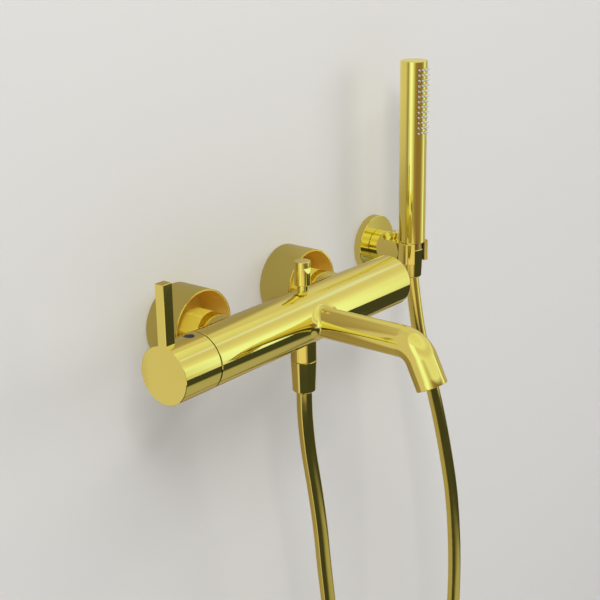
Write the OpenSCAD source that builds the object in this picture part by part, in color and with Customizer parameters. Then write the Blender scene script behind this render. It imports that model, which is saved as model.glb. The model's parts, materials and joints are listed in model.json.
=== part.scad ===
// Wall mounted single lever bath mixer with spout, pull diverter and stick hand shower.
// Origin: on the wall, midway between the two wall ports. X runs along the wall, -Y points
// into the room and Z points up. All lengths are in millimetres.

/* [Wall connection] */
// Distance between the two inlets
inlet_spacing = 150; // [138:1:165]
// Distance from the wall to the axis of the body
body_out = 84; // [78:1:100]
// How far the body's axis lies below the wall ports
union_offset = 3; // [0:0.5:5]
// Outside diameter of the G1/2 thread in the wall
port_thread_d = 20.955; // [18:0.005:24]
// Length of the thread that screws into the wall
port_thread_len = 18; // [10:1:25]
// Collar of the union, which carries the escutcheon
union_collar_d = 28; // [27:0.5:32]
// Where the collar ends, from the wall
union_collar_end = 12; // [6:0.5:15]
// Tube of the union behind the nut
union_tube_d = 20; // [17:0.5:22]
// Flange of the union inside the nut
union_flange_d = 25; // [23:0.5:25.5]
// Thickness of the flange
union_flange_t = 3; // [2:0.5:4]
// Waterway through the union
union_bore_d = 13; // [8:0.5:14]
// Width across the flats of the union nut
nut_af = 30; // [29.5:0.5:34]
// Length of the union nut
nut_len = 20; // [16:0.5:22]
// Inner shoulder of the union nut
nut_shoulder = 3; // [2:0.5:5]
// Distance from the wall to the nut's outer face
nut_front = 41.5; // [38:0.5:46]
// Fine gap between the nut and the body's collar
collar_gap = 1; // [0.5:0.1:2]
// Outside diameter of the G3/4 thread on the body
inlet_thread_d = 26.441; // [26:0.001:27]
// Thickness of the inlet washer
inlet_washer_t = 2; // [1:0.5:3]

/* [Escutcheons] */
// Outside diameter of an escutcheon
esc_d = 70; // [60:1:80]
// How far an escutcheon stands out from the wall
esc_depth = 35; // [25:1:40]
// Thickness of the escutcheon's metal
esc_wall = 1.5; // [1:0.1:3]
// Rounding of the edge at the wall
esc_edge_r = 1.2; // [0.6:0.1:1.4]

/* [Body] */
// Outside diameter of the body
body_d = 49; // [47:0.5:54]
// Length of the body
body_len = 265; // [255:1:290]
// Small chamfer of the turned edges
edge = 0.4; // [0.2:0.1:0.8]
// Diameter of the two inlet collars at the back of the body
inlet_collar_d = 34; // [31:0.5:38]
// Bore of the inlets
inlet_bore_d = 12; // [9:0.5:12.5]
// Diameter of the inner waterways
channel_d = 8; // [6:0.5:8.5]
// Diameter of the plug in the right end
end_plug_d = 40; // [36:0.5:42]
// Thickness of the end plug
end_plug_t = 8; // [5:0.5:12]

/* [Spout] */
// Outside diameter of the spout
spout_d = 27; // [25:0.5:28]
// Bore of the spout
spout_bore_d = 21; // [17:0.5:22]
// Distance from the body's axis to the start of the bend
spout_straight = 105; // [90:1:140]
// Radius of the bend's centre line
spout_bend_r = 21.5; // [19:0.5:40]
// Angle through which the spout bends down
spout_bend = 64; // [40:1:80]
// Straight length after the bend
spout_end = 24; // [20:1:40]
// Radius of the soft fillet at the spout's root
root_fillet_r = 7; // [4:0.5:9]
// Diameter of the spigot brazed into the body
spout_spigot_d = 18; // [16:0.5:19]
// Bore of the spout's port in the body
spout_port_d = 8; // [6:0.5:8]
// Outside diameter of the aerator's thread
aerator_d = 23; // [20:0.5:24]
// Length of the aerator's housing
aerator_len = 9; // [6:0.5:12]
// How deep the aerator sits in the spout's tip
aerator_recess = 0.8; // [0.4:0.1:2]

/* [Handle] */
// Gap between the body and the handle's cap
seam_gap = 1; // [0.6:0.1:2]
// Length of the handle's cap
cap_len = 40.5; // [36:0.5:50]
// Thickness of the cap's skirt
cap_wall = 4; // [3:0.5:5]
// Thickness of the lever bar, along the body
lever_t = 10; // [8:0.5:14]
// Width of the lever bar, across the body
lever_w = 9; // [6:0.5:14]
// How far the lever bar rises above the cap
lever_rise = 50; // [35:1:70]
// Diameter of the coloured index plug
index_d = 9; // [6:0.5:9]
// Distance from the cap's inner edge to the index plug
index_inset = 10.5; // [8:0.5:13]
// Diameter of the handle's grub screw
grub_d = 5; // [3:0.5:6]

/* [Cartridge] */
// Outside diameter of the cartridge
cart_d = 35; // [34:0.5:36.5]
// Length of the cartridge's housing
cart_len = 29.5; // [27:0.5:34]
// Thickness of each ceramic disc
disc_t = 4; // [3:0.5:5]
// Thickness of the cartridge's base
cart_base_t = 4; // [3:0.5:5]
// Thickness of the base seals
base_seal_t = 1; // [0.5:0.1:2]
// Diameter of the cartridge's stem
stem_d = 9; // [8:0.5:10]
// Outside diameter of the retaining ring's thread
ring_nut_d = 38.5; // [37.5:0.5:40]
// Length of the retaining ring's thread
ring_nut_len = 8; // [6:0.5:9]
// Radial thickness of the glide ring between the handle and the retaining ring's sleeve
glide_w = 4; // [3.5:0.1:5]

/* [Diverter] */
// Diameter of the pull knob
knob_d = 14.5; // [12:0.5:18]
// Height of the pull knob
knob_h = 21.5; // [16:0.5:26]
// Height of the neck that shows between the body and the knob
neck_h = 5; // [3:0.5:8]
// Diameter of that neck
neck_d = 10; // [9:0.5:11]
// How far the knob can be pulled up
diverter_stroke = 7.6; // [5:0.1:7.8]
// Diameter of the diverter's rod
rod_d = 6; // [4:0.5:7]
// Diameter of the vertical bore that holds the diverter
diverter_bore_d = 18; // [17:0.5:18.5]
// Wire of the return spring
spring_wire = 0.8; // [0.6:0.1:1]
// Mean diameter of the return spring
spring_d = 8.2; // [8:0.1:8.6]
// Turns of the return spring
spring_turns = 8; // [5:1:10]

/* [Hose outlet and hose nuts] */
// Diameter of the outlet under the body
outlet_d = 23; // [22.8:0.1:27]
// Distance from the body's axis down to the outlet's lower face
outlet_drop = 39.8; // [34:0.1:48]
// Outside diameter of the G1/2 hose threads
hose_thread_d = 20.955; // [20:0.005:21.5]
// Length of the hose threads inside the nuts
hose_thread_len = 8.4; // [6:0.1:10]
// Fine gap above each hose nut
hose_nut_gap = 0.3; // [0.2:0.1:1]
// Upper diameter of a hose nut
hose_nut_d = 23; // [22.8:0.1:23.6]
// Lower diameter of a hose nut
hose_nut_tip_d = 20.5; // [19:0.1:22]
// Length of a hose nut
hose_nut_len = 29.6; // [27:0.1:36]
// Thickness of the hose washers
hose_washer_t = 1.7; // [1:0.1:2.5]
// Thickness of the ferrule's flange
ferrule_flange_t = 2; // [1:0.1:3]
// Diameter of the ferrule's sleeve
ferrule_d = 15.4; // [14.5:0.1:15.6]
// Length of a ferrule below its flange
ferrule_len = 15.1; // [13:0.1:20]

/* [Hose] */
// Outside diameter of the hose
hose_d = 14; // [12:0.5:14.5]

/* [Hand shower] */
// Outside diameter of the hand shower
stick_d = 27; // [26:0.5:30]
// Length of the hand shower above the holder
stick_len = 183; // [160:1:220]
// Wall of the hand shower's tube
stick_wall = 1.5; // [1:0.1:1.6]
// Height of the end cap that shows on top
end_cap_h = 2; // [1.5:0.5:5]
// Rounding of the end cap's edge
end_cap_r = 1.2; // [0.5:0.1:1.4]
// Distance from the hand shower's foot to its hose nut
stick_neck = 7.7; // [6:0.1:12]
// Rows of nozzles
nozzle_rows = 13; // [8:1:15]
// Columns of nozzles
nozzle_cols = 5; // [3:1:5]
// Distance between the rows
nozzle_pitch = 5.15; // [5:0.05:6]
// Angle between the columns
nozzle_step = 17.5; // [15:0.5:18]
// Distance from the top of the hand shower to the first row
nozzle_top = 8.4; // [8:0.1:20]
// Diameter of a nozzle where it leaves the tube
nozzle_d = 2.6; // [1.8:0.1:3]
// How far a nozzle stands out of the tube
nozzle_out = 2; // [1:0.1:3]
// Thickness of the nozzle mat
mat_t = 1.5; // [1:0.1:1.6]

/* [Wall bracket] */
// Distance along the wall from the middle of the mixer to the bracket
holder_x = 221; // [205:1:300]
// Distance from the wall to the axis of the hand shower
holder_out = 51; // [48:0.5:70]
// Diameter of the bracket's rose
rose_d = 60; // [52:1:70]
// Thickness of the rose
rose_t = 8; // [7:0.5:12]
// Metal of the rose
rose_wall = 2.5; // [1.5:0.1:3]
// Diameter of the arm's round bar
arm_d = 31; // [30:0.5:33]
// Height of the ring, and of the arm between its two flats
arm_h = 21; // [20:0.5:24]
// Length of the arm that is left round next to the rose
arm_root = 13.5; // [10:0.5:14]
// Gap between the rose and the arm
arm_gap = 0.2; // [0.1:0.1:2]
// Diameter of the spindle that carries the arm
spindle_d = 12; // [10:0.5:13]
// Outside diameter of the open ring
ring_d = 33.4; // [32.4:0.2:38]
// Half of the angle left open at the front of the ring
ring_open = 46; // [38:1:60]
// Thickness of the plastic liner in the ring
liner_t = 1.4; // [1:0.1:1.6]
// Diameter of the lock screw's knob
lock_knob_d = 9; // [6:0.5:12]
// Height of the lock screw's knob
lock_knob_h = 7; // [5:0.5:10]
// Distance between the two wall screws
screw_spacing = 30; // [26:1:32]
// Diameter of the wall plugs
wall_plug_d = 6; // [5:0.5:8]
// Length of the wall plugs
wall_plug_len = 30; // [25:1:40]
// Diameter of the wall screws
wall_screw_d = 4; // [3:0.5:4.5]

/* [Fits] */
// Radial clearance of pieces that turn or slide in each other
run_fit = 0.05; // [0.02:0.01:0.1]
// Radial clearance of pieces that stay put
fit = 0.15; // [0.1:0.05:0.3]
// Gap under the hand shower where it stands on the ring
seat_gap = 0.2; // [0.1:0.05:0.3]
// Gap under the turning ceramic disc
disc_gap = 0.05; // [0.02:0.01:0.1]

/* [Hidden] */
$fn = 72;

// Body, in a frame on its axis: x along it, +y towards the wall, z up.
body_r = body_d / 2;
body_left = -body_len / 2;
body_right = body_len / 2;
seam_x = body_left - seam_gap;
cap_end = seam_x - cap_len;
cap_bore_d = body_d - 2 * cap_wall;
cap_floor = cap_end + lever_t;

// Inlets, measured from the wall plane.
collar_face = nut_front + collar_gap;
nut_back = nut_front - nut_len;
shoulder_face = nut_back + nut_shoulder;
flange_face = shoulder_face + union_flange_t;
spigot_face = flange_face + inlet_washer_t;
inlet_depth = 2;
cross_d = channel_d + 1;
cross_over = 1;
inlet_xs = [-inlet_spacing / 2, inlet_spacing / 2];

// Waterways inside the body, as [y, z] from its axis.
hot_at = [8, 7];
cold_port_at = [8, -7];
cold_at = [14, -11];
mixed_at = [-8, -8];
port_ats = [hot_at, cold_port_at, mixed_at];
cold_cross_tilt = atan2(cold_port_at[1] - cold_at[1], cold_port_at[0] - cold_at[0]) - 180;
base_seal_d = channel_d + 3;

// Cartridge, from the mouth of its bore to its floor.
cart_mouth = body_left + ring_nut_len;
cart_floor = cart_mouth + cart_len + base_seal_t;
cold_cross_x = cart_floor + 5;
base_right = cart_floor - base_seal_t;
base_left = base_right - cart_base_t;
fixed_left = base_left - disc_t;
turning_right = fixed_left - disc_gap;
turning_left = turning_right - disc_t;
driver_t = 4;
driver_left = turning_left - driver_t;
chamber_left = driver_left - 0.9;
cart_chamber_d = cart_d - 5;
disc_d = cart_chamber_d - 1.4;
pocket_d = channel_d + 5;
cart_neck_d = 20;
cart_neck_left = body_left - 1.5;
stem_left = cap_floor + 4.5;
stem_flat_z = 3.7;
boss_d = 20;
boss_right = seam_x - 4;
ring_sleeve_d = cap_bore_d - 2 * glide_w;
sleeve_left = body_left - 8.5;
glide_t = 4.5;
index_x = seam_x - index_inset;
stem_seal_d = stem_d + 4;
stem_seal_t = 2;
stem_seal_x = cart_mouth - 1;

// Diverter, heights from the body's axis.
guide_top = 17;
guide_low = 11;
seat_t = 2;
upper_seat_top = 0;
lower_seat_top = -14;
seat_bore_d = 10.6;
valve_d = 14;
valve_t = 4;
valve_low = lower_seat_top + 0.2;
valve_top = valve_low + valve_t;
neck_top = body_r + neck_h;
knob_low = neck_top + 0.4;
knob_top = knob_low + knob_h;
cage_d = diverter_bore_d - 2 * fit;
cage_low = lower_seat_top - seat_t;
cage_wall = 1.5;
spout_port_z = 4.2;
rod_low = valve_low + 1.8;
rod_top = knob_low + 10;
rod_seal_t = 2.5;
knob_notch_h = 5;
knob_notch_top = 5.5;
knob_notch_depth = 1.9;

// Hose outlet and hose nuts. A nut's own frame has its upper face at z = 0.
outlet_bore_d = 12;
valve_insert_d = 14;
valve_insert_len = 12;
outlet_thread_low = outlet_drop + hose_nut_gap + hose_thread_len;
nut_washer_z = -hose_thread_len;
nut_flange_z = nut_washer_z - hose_washer_t;
nut_shoulder_z = nut_flange_z - ferrule_flange_t;
ferrule_end_z = nut_shoulder_z - ferrule_len;
hose_nut_bore_d = ferrule_d + 0.8;
ferrule_flange_d = hose_thread_d - 1.4;
ferrule_bore_d = 9;

// Spout tip and aerator
spout_tip_y = -spout_straight - spout_bend_r * sin(spout_bend) - spout_end * cos(spout_bend);
spout_tip_z = -spout_bend_r * (1 - cos(spout_bend)) - spout_end * sin(spout_bend);
aerator_washer_t = 1.8;
aerator_bore_d = aerator_d - 3;
tip_bore_depth = aerator_recess + aerator_len + aerator_washer_t;

// Hand shower, heights from the arm's axis.
ring_top = arm_h / 2;
stick_low = ring_top + seat_gap;
stick_top = stick_low + stick_len;
tube_top = stick_top - end_cap_h;
tube_bore_d = stick_d - 2 * stick_wall;
plug_h = 3;
connector_h = 12;
shower_nut_top = stick_low - stick_neck;
shower_thread_low = shower_nut_top - hose_thread_len;
shower_bore_d = 10;
restrictor_d = 12;
restrictor_t = 4;
duct_low = stick_low + connector_h;
duct_top = tube_top - plug_h;
mat_d = tube_bore_d - 0.1;
duct_d = mat_d - 2 * mat_t - 0.1;
duct_bore_d = duct_d - 3;
mat_margin = 2.2;
mat_half_angle = nozzle_step * (nozzle_cols - 1) / 2 + 12;
nozzle_zone = nozzle_pitch * (nozzle_rows - 1);
first_row_z = stick_top - nozzle_top;
nozzle_tip_d = nozzle_d - 0.8;
nozzle_root_r = mat_d / 2 - mat_t / 2;

// Wall bracket, in a frame on the axis of the hand shower.
arm_back = holder_out - rose_t - arm_gap;
liner_d = ring_d - 6.6;
liner_bore_d = liner_d - 2 * liner_t;
plate_d = 46;
plate_t = 4;
spindle_grip = 25.8;
spindle_front = arm_back - spindle_grip;
neck_spindle_d = spindle_d + 2;
lock_back = 20.8;
lock_y = arm_back - lock_back;
screw_head_d = 7.5;
set_screw_d = 3;
set_screw_y = 2.5;

// Route of the hose, as points of its centre line from the outlet to the hand shower.
hose_route = [
    [0, -84, -70.3], [1, -84, -100], [5.5, -84, -135], [13.5, -84, -175], [21, -84, -218],
    [26.5, -84, -262], [32, -85, -310], [37, -86, -360], [42, -88, -410], [47, -90, -460],
    [54, -91, -508], [67, -93, -553], [90, -94, -590], [122, -95, -612], [158, -95, -615],
    [192, -94, -600], [220, -92, -570], [240, -91, -529], [252, -89, -482], [259, -88, -431],
    [262, -87, -380], [262, -85, -330], [259, -82, -280], [253, -77, -230], [245, -71, -180],
    [235, -64, -130], [226, -57, -82], [221, -51, -24.3]
];
hose_sides = 10;
hose_steps = 2;

// ---------------------------------------------------------------- shared shapes

// Plain rods along each axis.
module rod_x(d, x0, x1) translate([x0, 0, 0]) rotate([0, 90, 0]) cylinder(d = d, h = x1 - x0);
module rod_y(d, y0, y1) translate([0, y1, 0]) rotate([90, 0, 0]) cylinder(d = d, h = y1 - y0);
module rod_z(d, z0, z1) translate([0, 0, z0]) cylinder(d = d, h = z1 - z0);

// Turned drum with both edges chamfered, standing on z = 0.
module drum(d, h, c = edge) {
    rotate_extrude()
        polygon([[0, 0], [d / 2 - c, 0], [d / 2, c], [d / 2, h - c], [d / 2 - c, h], [0, h]]);
}
module drum_x(d, x0, x1) translate([x0, 0, 0]) rotate([0, 90, 0]) drum(d, x1 - x0);
module drum_y(d, y0, y1) translate([0, y1, 0]) rotate([90, 0, 0]) drum(d, y1 - y0);

// Flat ring standing on z = z0.
module ring_z(d, bore, z0, z1) {
    difference() {
        rod_z(d, z0, z1);
        rod_z(bore, z0 - 1, z1 + 1);
    }
}
module ring_x(d, bore, x0, x1) translate([x0, 0, 0]) rotate([0, 90, 0]) ring_z(d, bore, 0, x1 - x0);
module ring_y(d, bore, y0, y1) translate([0, y1, 0]) rotate([90, 0, 0]) ring_z(d, bore, 0, y1 - y0);

// Square bar with every edge chamfered, from z = 0 up.
module chamfered_bar(w, t, h, c = edge) {
    module outline(a, b) {
        polygon([[-a / 2 + c, -b / 2], [a / 2 - c, -b / 2], [a / 2, -b / 2 + c], [a / 2, b / 2 - c],
                 [a / 2 - c, b / 2], [-a / 2 + c, b / 2], [-a / 2, b / 2 - c], [-a / 2, -b / 2 + c]]);
    }
    intersection() {
        linear_extrude(height = h) outline(w, t);
        translate([0, 0, h / 2]) rotate([90, 0, 0])
            linear_extrude(height = t + 2, center = true) outline(w, h);
        translate([0, 0, h / 2]) rotate([0, 90, 0])
            linear_extrude(height = w + 2, center = true) outline(h, t);
    }
}

// Frames: the body's axis, one inlet, the spout's tip, the hand shower's axis.
module on_axis() translate([0, -body_out, -union_offset]) children();
module at_inlet(x) translate([x, 0, -union_offset]) children();
// (the tip's own frame lies in the body's, its z pointing up into the spout)
module in_tip() translate([0, spout_tip_y, spout_tip_z]) rotate([spout_bend - 90, 0, 0]) children();
module at_holder() translate([holder_x, -holder_out, 0]) children();
module at_outlet_nut() on_axis() translate([0, 0, -outlet_drop - hose_nut_gap]) children();
module at_shower_nut() at_holder() translate([0, 0, shower_nut_top]) children();

// ---------------------------------------------------------------- body and its waterways

module cartridge_bore() {
    rod_x(cart_d + 2 * fit, cart_mouth - 1, cart_floor);
    rod_x(ring_nut_d + 2 * fit, body_left - 1, cart_mouth);
}

module waterways() {
    // Inlets, drilled in from the collars
    for (x = inlet_xs)
        translate([x, 0, 0]) rod_y(inlet_bore_d, inlet_depth, body_out - spigot_face + 1);
    // Hot: from the left inlet to the cartridge
    translate([0, hot_at[0], hot_at[1]]) rod_x(channel_d, cart_floor - 1, inlet_xs[0]);
    // Cold: from the right inlet down and along the body, then across to the cartridge
    translate([inlet_xs[1], cold_at[0], 0]) rod_z(cross_d, cold_at[1] - cross_over, 0);
    translate([0, cold_at[0], cold_at[1]]) rod_x(channel_d, cold_cross_x, inlet_xs[1]);
    translate([cold_cross_x, cold_at[0], cold_at[1]]) rotate([cold_cross_tilt, 0, 0])
        rod_y(cross_d, -norm(cold_port_at - cold_at) - cross_over, cross_over);
    translate([0, cold_port_at[0], cold_port_at[1]]) rod_x(channel_d, cart_floor - 1, cold_cross_x);
    // Mixed: from the cartridge to the diverter
    translate([0, mixed_at[0], mixed_at[1]]) rod_x(channel_d, cart_floor - 1, 0);
}

module mixer_body() color("goldenrod") on_axis() difference() {
    union() {
        drum_x(body_d, body_left, body_right);
        for (x = inlet_xs) translate([x, 0, 0]) {
            drum_y(inlet_collar_d, 0, body_out - collar_face);
            rod_y(inlet_thread_d, 0, body_out - spigot_face);
        }
    }
    cartridge_bore();
    waterways();
    // Seat of the end plug
    rod_x(end_plug_d + 2 * fit, body_right - end_plug_t, body_right + 1);
    // Diverter bore, open below, with the hole for the neck above
    rod_z(diverter_bore_d, -body_r - 1, guide_top);
    rod_z(neck_d + 2 * fit, guide_top - 1, body_r + 1);
    // Port and socket of the spout
    translate([0, 0, spout_port_z]) rod_y(spout_port_d, -body_r, 0);
    rod_y(spout_spigot_d + 2 * fit, -body_r - 1, -diverter_bore_d / 2 - 2);
}

module body_end_plug() color("goldenrod") on_axis()
    drum_x(end_plug_d, body_right - end_plug_t + 1, body_right);

module end_plug_seal() color("black") on_axis()
    ring_x(end_plug_d - 1, end_plug_d - 6, body_right - end_plug_t, body_right - end_plug_t + 1);

// ---------------------------------------------------------------- spout and aerator

// Radius of a ball that rolls in the corner between the spout and the body, seen at angle a
// around the spout's axis: the ring of points where it touches both, joined by its arc.
fillet_steps = 8;
fillet_sides = 60;
fillet_sink = 0.3;
function fillet_centre(a) =
    let (reach = spout_d / 2 + root_fillet_r)
    [reach * cos(a), -sqrt(pow(body_r + root_fillet_r, 2) - pow(reach * sin(a), 2)), reach * sin(a)];
function towards_axis(a) = [-cos(a), 0, -sin(a)];
function towards_body(a) =
    let (c = fillet_centre(a)) -[0, c[1], c[2]] / norm([c[1], c[2]]);
function between(u, v, t) =
    let (w = acos(u * v)) (sin((1 - t) * w) * u + sin(t * w) * v) / sin(w);
function fillet_arc(a) =
    let (c = fillet_centre(a), u = towards_axis(a), v = towards_body(a))
    [for (i = [0:fillet_steps])
        let (d = between(u, v, i / fillet_steps), end = i == 0 || i == fillet_steps)
        c + d * (root_fillet_r + (end ? fillet_sink : 0))];
function fillet_inner(a) =
    let (c = fillet_centre(a), v = towards_body(a), deep = spout_d / 2 - 2)
    [deep * cos(a), (c + v * (root_fillet_r + 2))[1], deep * sin(a)];
function fillet_section(a) = concat(fillet_arc(a), [fillet_inner(a)]);

module root_fillet() {
    n = fillet_steps + 2;
    points = [for (k = [0:fillet_sides - 1]) each fillet_section(360 * k / fillet_sides)];
    faces = [for (k = [0:fillet_sides - 1], i = [0:n - 1])
        let (a = k * n + i, b = k * n + (i + 1) % n, next = ((k + 1) % fillet_sides) * n)
        each [[a, next + (i + 1) % n, b], [a, next + i, next + (i + 1) % n]]];
    polyhedron(points = points, faces = faces);
}

// One stretch of pipe along the spout's centre line, from the body's axis to the tip.
module spout_pipe(d, root, tip_extra) {
    rod_y(d, -spout_straight, -root);
    translate([0, -spout_straight, -spout_bend_r]) rotate([0, -90, 180])
        rotate_extrude(angle = spout_bend) translate([spout_bend_r, 0]) circle(d = d);
    in_tip() rod_z(d, -tip_extra, spout_end);
}

module spout() color("goldenrod") on_axis() difference() {
    union() {
        difference() {
            union() {
                spout_pipe(spout_d, body_r - 4, 0);
                root_fillet();
            }
            rod_x(body_d, -spout_d * 2, spout_d * 2);
        }
        rod_y(spout_spigot_d, -body_r - 1, -diverter_bore_d / 2 - 2);
    }
    spout_pipe(spout_bore_d, body_r + 3, 1);
    translate([0, 0, spout_port_z]) rod_y(spout_port_d, -body_r - 4, 0);
    in_tip() rod_z(aerator_d + 2 * fit, -1, tip_bore_depth);
}

module aerator_housing() color("silver") on_axis() in_tip() difference() {
    translate([0, 0, aerator_recess]) drum(aerator_d, aerator_len);
    rod_z(aerator_bore_d, aerator_recess + 1.5, aerator_recess + aerator_len + 1);
    rod_z(aerator_bore_d - 3, 0, aerator_recess + 2);
}

module aerator_insert() color("white") on_axis() in_tip() difference() {
    rod_z(aerator_bore_d - 2 * fit, aerator_recess + 1.5, aerator_recess + aerator_len);
    for (r = [0, 3.6, 7.2], k = [0:max(1, 6 * r / 3.6) - 1])
        rotate([0, 0, 360 * k / max(1, 6 * r / 3.6)]) translate([r, 0, 0]) rod_z(1.8, 0, tip_bore_depth);
}

module aerator_washer() color("black") on_axis() in_tip()
    ring_z(aerator_d - 0.2, aerator_bore_d - 1, aerator_recess + aerator_len, tip_bore_depth);

// ---------------------------------------------------------------- handle

module handle() color("goldenrod") on_axis() difference() {
    union() {
        difference() {
            drum_x(body_d, cap_end, seam_x);
            rod_x(cap_bore_d, cap_floor, seam_x + 1);
        }
        rod_x(boss_d, cap_floor - 1, boss_right);
        translate([cap_end + lever_t / 2, 0, body_r - 8])
            chamfered_bar(lever_t, lever_w, lever_rise + 8);
    }
    rod_x(stem_d + 2 * run_fit, stem_left - 0.5, boss_right + 1);
    translate([index_x, 0, 0]) {
        rod_z(grub_d + 2 * run_fit, 0, boss_d);
        rod_z(index_d + 2 * run_fit, boss_d / 2 + 4, body_r + 1);
    }
}

module index_plug() color("midnightblue") on_axis() intersection() {
    translate([index_x, 0, 0]) rod_z(index_d, body_r - cap_wall, body_r + 1);
    rod_x(body_d, cap_end, seam_x);
}

module handle_grub_screw() color("dimgray") on_axis() translate([index_x, 0, 0]) difference() {
    rod_z(grub_d, stem_flat_z, boss_d / 2 - 0.5);
    translate([0, 0, boss_d / 2 - 3]) cylinder(d = 2.8, h = 4, $fn = 6);
}

module handle_glide_ring() color("white") on_axis()
    ring_x(cap_bore_d - 2 * run_fit, ring_sleeve_d + 0.1, seam_x - 1 - glide_t, seam_x - 1);

// ---------------------------------------------------------------- cartridge

module cartridge_housing() color("gray") on_axis() difference() {
    union() {
        rod_x(cart_d, cart_mouth, base_right);
        rod_x(cart_neck_d, cart_neck_left, cart_mouth + 1);
    }
    rod_x(cart_chamber_d, chamber_left, base_right + 1);
    rod_x(stem_d + 2 * run_fit, cart_neck_left - 1, chamber_left + 1);
    rod_x(stem_seal_d, stem_seal_x, stem_seal_x + stem_seal_t);
}

module cartridge_base() color("gray") on_axis() difference() {
    rod_x(cart_chamber_d - 0.2, base_left, base_right);
    for (at = port_ats) translate([0, at[0], at[1]]) rod_x(channel_d, base_left - 1, base_right + 1);
}

module cartridge_base_seals() color("black") on_axis()
    for (at = port_ats) translate([0, at[0], at[1]])
        ring_x(base_seal_d, channel_d, base_right, cart_floor);

module ceramic_disc_fixed() color("white") on_axis() difference() {
    rod_x(disc_d, fixed_left, base_left);
    for (at = port_ats) translate([0, at[0], at[1]]) rod_x(channel_d - 2, fixed_left - 1, base_left + 1);
}

// The pocket in the turning disc joins the ports as the stem turns.
module ceramic_disc_turning() color("white") on_axis() difference() {
    rod_x(disc_d, turning_left, turning_right);
    translate([0, mixed_at[0] + 2, mixed_at[1] + 2]) rod_x(pocket_d, turning_right - 2.5, base_left);
}

module cartridge_stem() color("goldenrod") on_axis() difference() {
    union() {
        rod_x(disc_d - 3, driver_left, turning_left);
        rod_x(stem_d, stem_left, driver_left + 1);
    }
    translate([stem_left - 1, -stem_d, stem_flat_z]) cube([boss_right - stem_left + 1, 2 * stem_d, stem_d]);
}

module stem_seal() color("black") on_axis()
    ring_x(stem_seal_d, stem_d + 2 * run_fit, stem_seal_x, stem_seal_x + stem_seal_t);

module cartridge_ring_nut() color("goldenrod") on_axis() difference() {
    union() {
        rod_x(ring_nut_d, body_left, cart_mouth);
        rod_x(ring_sleeve_d, sleeve_left, body_left + 1);
    }
    rod_x(cart_neck_d + 2 * fit, sleeve_left - 1, cart_mouth + 1);
}

// ---------------------------------------------------------------- diverter

module diverter_knob() color("goldenrod") on_axis() difference() {
    translate([0, 0, knob_low]) drum(knob_d, knob_h);
    rod_z(rod_d, knob_low - 1, rod_top);
    // Finger notch across the front: flat above, sloping out below
    translate([0, -knob_d / 2 + knob_notch_depth, knob_top - knob_notch_top]) rotate([90, 0, 90])
        linear_extrude(height = knob_d + 2, center = true)
            polygon([[0, 0], [-knob_d, 0], [-knob_d, -knob_notch_h * 4], [-knob_notch_depth, -knob_notch_h]]);
}

module diverter_rod() color("silver") on_axis() rod_z(rod_d, rod_low, rod_top);

module diverter_valve_disc() color("black") on_axis() difference() {
    rod_z(valve_d, valve_low, valve_top);
    rod_z(rod_d, rod_low, valve_top + 1);
}

module diverter_guide() color("goldenrod") on_axis() difference() {
    union() {
        rod_z(diverter_bore_d - 2 * fit, guide_low, guide_top);
        rod_z(neck_d, guide_top - 1, neck_top);
    }
    rod_z(rod_d + 2 * run_fit, guide_low - 1, neck_top + 1);
    rod_z(neck_d, guide_low - 1, guide_low + rod_seal_t);
}

module diverter_rod_seal() color("black") on_axis()
    ring_z(neck_d, rod_d + 2 * run_fit, guide_low + 0.5, guide_low + rod_seal_t);

module diverter_cage() color("gainsboro") on_axis() difference() {
    rod_z(cage_d, cage_low, guide_low);
    rod_z(cage_d - 2 * cage_wall, upper_seat_top, guide_low + 1);
    rod_z(cage_d - 2 * cage_wall, lower_seat_top, upper_seat_top - seat_t);
    rod_z(seat_bore_d, cage_low - 1, guide_low + 1);
    translate([0, 0, spout_port_z]) rod_y(spout_port_d, -diverter_bore_d, 0);
    translate([0, mixed_at[0], mixed_at[1]]) rod_x(channel_d, -diverter_bore_d, 0);
}

// Swept tube along a closed-form path: rings of points, each turned to its frame.
function tube_points(path, tangents, r, sides) = [for (k = [0:len(path) - 1])
    let (t = tangents[k], side = cross(t, [0, 1, 0.001]), u = side / norm(side), v = cross(t, u))
    each [for (s = [0:sides - 1]) path[k] + r * (cos(360 * s / sides) * u + sin(360 * s / sides) * v)]];
function tube_faces(rings, sides) = concat(
    [[for (s = [0:sides - 1]) s]],
    [for (k = [0:rings - 2], s = [0:sides - 1])
        [k * sides + s, (k + 1) * sides + s, (k + 1) * sides + (s + 1) % sides, k * sides + (s + 1) % sides]],
    [[for (s = [0:sides - 1]) rings * sides - 1 - s]]);

spring_low = valve_top + spring_wire / 2 + 0.05;
spring_high = guide_low - spring_wire / 2 - 0.05;
spring_turn_steps = 16;
function spring_at(i) =
    let (n = spring_turns * spring_turn_steps, a = 360 * i / spring_turn_steps)
    [spring_d / 2 * cos(a), spring_d / 2 * sin(a), spring_low + (spring_high - spring_low) * i / n];
function spring_ring(i) =
    let (a = 360 * i / spring_turn_steps, p = spring_at(i), out = [cos(a), sin(a), 0])
    [for (s = [0:5]) p + spring_wire / 2 * (cos(60 * s) * out + [0, 0, sin(60 * s)])];

module diverter_spring() color("silver") on_axis() {
    n = spring_turns * spring_turn_steps;
    polyhedron(points = [for (i = [0:n]) each spring_ring(i)], faces = tube_faces(n + 1, 6));
}

// ---------------------------------------------------------------- hose outlet

module hose_outlet() color("goldenrod") on_axis() difference() {
    union() {
        rod_z(diverter_bore_d - 2 * fit, -body_r - 1, cage_low);
        difference() {
            translate([0, 0, -outlet_drop]) drum(outlet_d, outlet_drop - 10);
            rod_x(body_d, -outlet_d, outlet_d);
        }
        rod_z(hose_thread_d, -outlet_thread_low, -outlet_drop + 1);
    }
    rod_z(outlet_bore_d, -outlet_thread_low - 1, cage_low + 1);
    rod_z(valve_insert_d + 2 * fit, -outlet_thread_low - 1, -outlet_thread_low + valve_insert_len + 1);
}

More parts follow.
